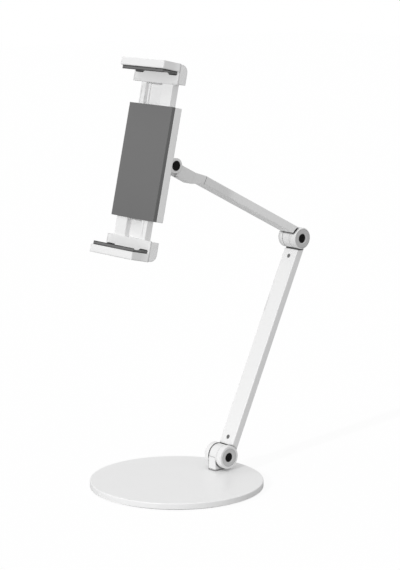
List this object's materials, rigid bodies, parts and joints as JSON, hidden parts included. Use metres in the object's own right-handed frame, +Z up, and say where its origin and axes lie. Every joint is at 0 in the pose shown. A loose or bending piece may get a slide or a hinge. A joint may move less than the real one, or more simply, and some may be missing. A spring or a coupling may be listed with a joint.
{
  "type": "telescopic tablet stand",
  "caption": "Desk stand with a round weighted base, two folding arms and a tilting, turning holder whose padded jaws slide apart together to clamp a tablet.",
  "frame": {"origin": "centre of the underside of the base, where the stand rests on the table", "axes": "+Z up, -Y towards the user, +X along the hinge axes towards the bolt heads"},
  "size_m": [0.2, 0.2947, 0.4932],
  "materials": {
    "white_steel": "white powder coat on steel",
    "white_aluminium": "white powder coat on aluminium",
    "white_plastic": "satin white",
    "grey_rubber": "matte grey silicone",
    "grey_trim": "satin grey",
    "black_plastic": "matte black",
    "steel": "zinc plated",
    "dark_steel": "blackened",
    "friction_washer": "dark wear-resistant plastic",
    "ivory_plastic": "natural acetal"
  },
  "bodies": {
    "base": {"base_plate": "white_steel", "base_pad": "grey_rubber", "pivot_lug": "white_steel", "lug_screws": "steel"},
    "lower_arm": {"lower_tube": "white_aluminium", "lower_fork": "white_aluminium", "elbow_fork": "white_aluminium", "lower_tube_screws": "dark_steel", "lower_hinge_bolt": "steel", "lower_hinge_nut": "steel", "lower_hinge_washers": "friction_washer", "lower_hinge_ring": "grey_trim", "lower_hinge_plug": "black_plastic", "elbow_bolt": "steel", "elbow_nut": "steel", "elbow_washers": "friction_washer", "elbow_ring": "grey_trim", "elbow_plug": "black_plastic"},
    "upper_arm": {"upper_tube": "white_aluminium", "elbow_tongue": "white_aluminium", "neck_fork": "white_aluminium", "upper_tube_screws": "dark_steel", "tilt_bolt": "steel", "tilt_nut": "steel", "tilt_washers": "friction_washer", "tilt_caps": "black_plastic"},
    "bracket": {"tilt_bracket": "white_aluminium", "swivel_washer": "steel", "swivel_screw": "steel"},
    "holder": {"rear_housing": "white_plastic", "front_plate": "white_plastic", "back_pad": "grey_rubber", "housing_screws": "dark_steel", "pinion_pin": "steel"},
    "pinion": {"sync_pinion": "ivory_plastic"},
    "upper_jaw": {"upper_rail": "white_aluminium", "upper_rail_screws": "dark_steel", "upper_jaw_frame": "white_plastic", "upper_jaw_cover": "white_plastic", "upper_jaw_screws": "dark_steel", "upper_grip": "grey_rubber"},
    "lower_jaw": {"lower_rail": "white_aluminium", "lower_rail_screws": "dark_steel", "lower_jaw_frame": "white_plastic", "lower_jaw_cover": "white_plastic", "lower_jaw_screws": "dark_steel", "lower_grip": "grey_rubber"}
  },
  "joints": [
    {"name": "lower_hinge", "type": "hinge", "parent": "base", "child": "lower_arm", "pos_m": [0, 0.068, 0.024], "axis": [1, 0, 0], "range_deg": [-45, 55]},
    {"name": "elbow", "type": "hinge", "parent": "lower_arm", "child": "upper_arm", "pos_m": [0, 0.18209, 0.27092], "axis": [-1, 0, 0], "range_deg": [-60, 88]},
    {"name": "head_tilt", "type": "hinge", "parent": "upper_arm", "child": "bracket", "pos_m": [0, -0.00859, 0.37248], "axis": [1, 0, 0], "range_deg": [-65, 50]},
    {"name": "head_swivel", "type": "hinge", "parent": "bracket", "child": "holder", "pos_m": [0, -0.05094, 0.38012], "axis": [0, 0.9763, -0.2164], "continuous": true},
    {"name": "upper_jaw_slide", "type": "slide", "parent": "holder", "child": "upper_jaw", "axis": [0, 0.2164, 0.9763], "range_m": [-0.02, 0.014]},
    {"name": "lower_jaw_slide", "type": "slide", "parent": "holder", "child": "lower_jaw", "axis": [0, -0.2164, -0.9763], "range_m": [-0.02, 0.014]},
    {"name": "pinion_spin", "type": "hinge", "parent": "holder", "child": "pinion", "pos_m": [0, -0.05094, 0.38012], "axis": [0, -0.9763, 0.2164], "range_deg": [-191, 133.7]}
  ],
  "couplings": [
    {"joint": "lower_jaw_slide", "follows": "upper_jaw_slide", "ratio": 1},
    {"joint": "pinion_spin", "follows": "upper_jaw_slide", "rad_per_m": 166.67}
  ]
}
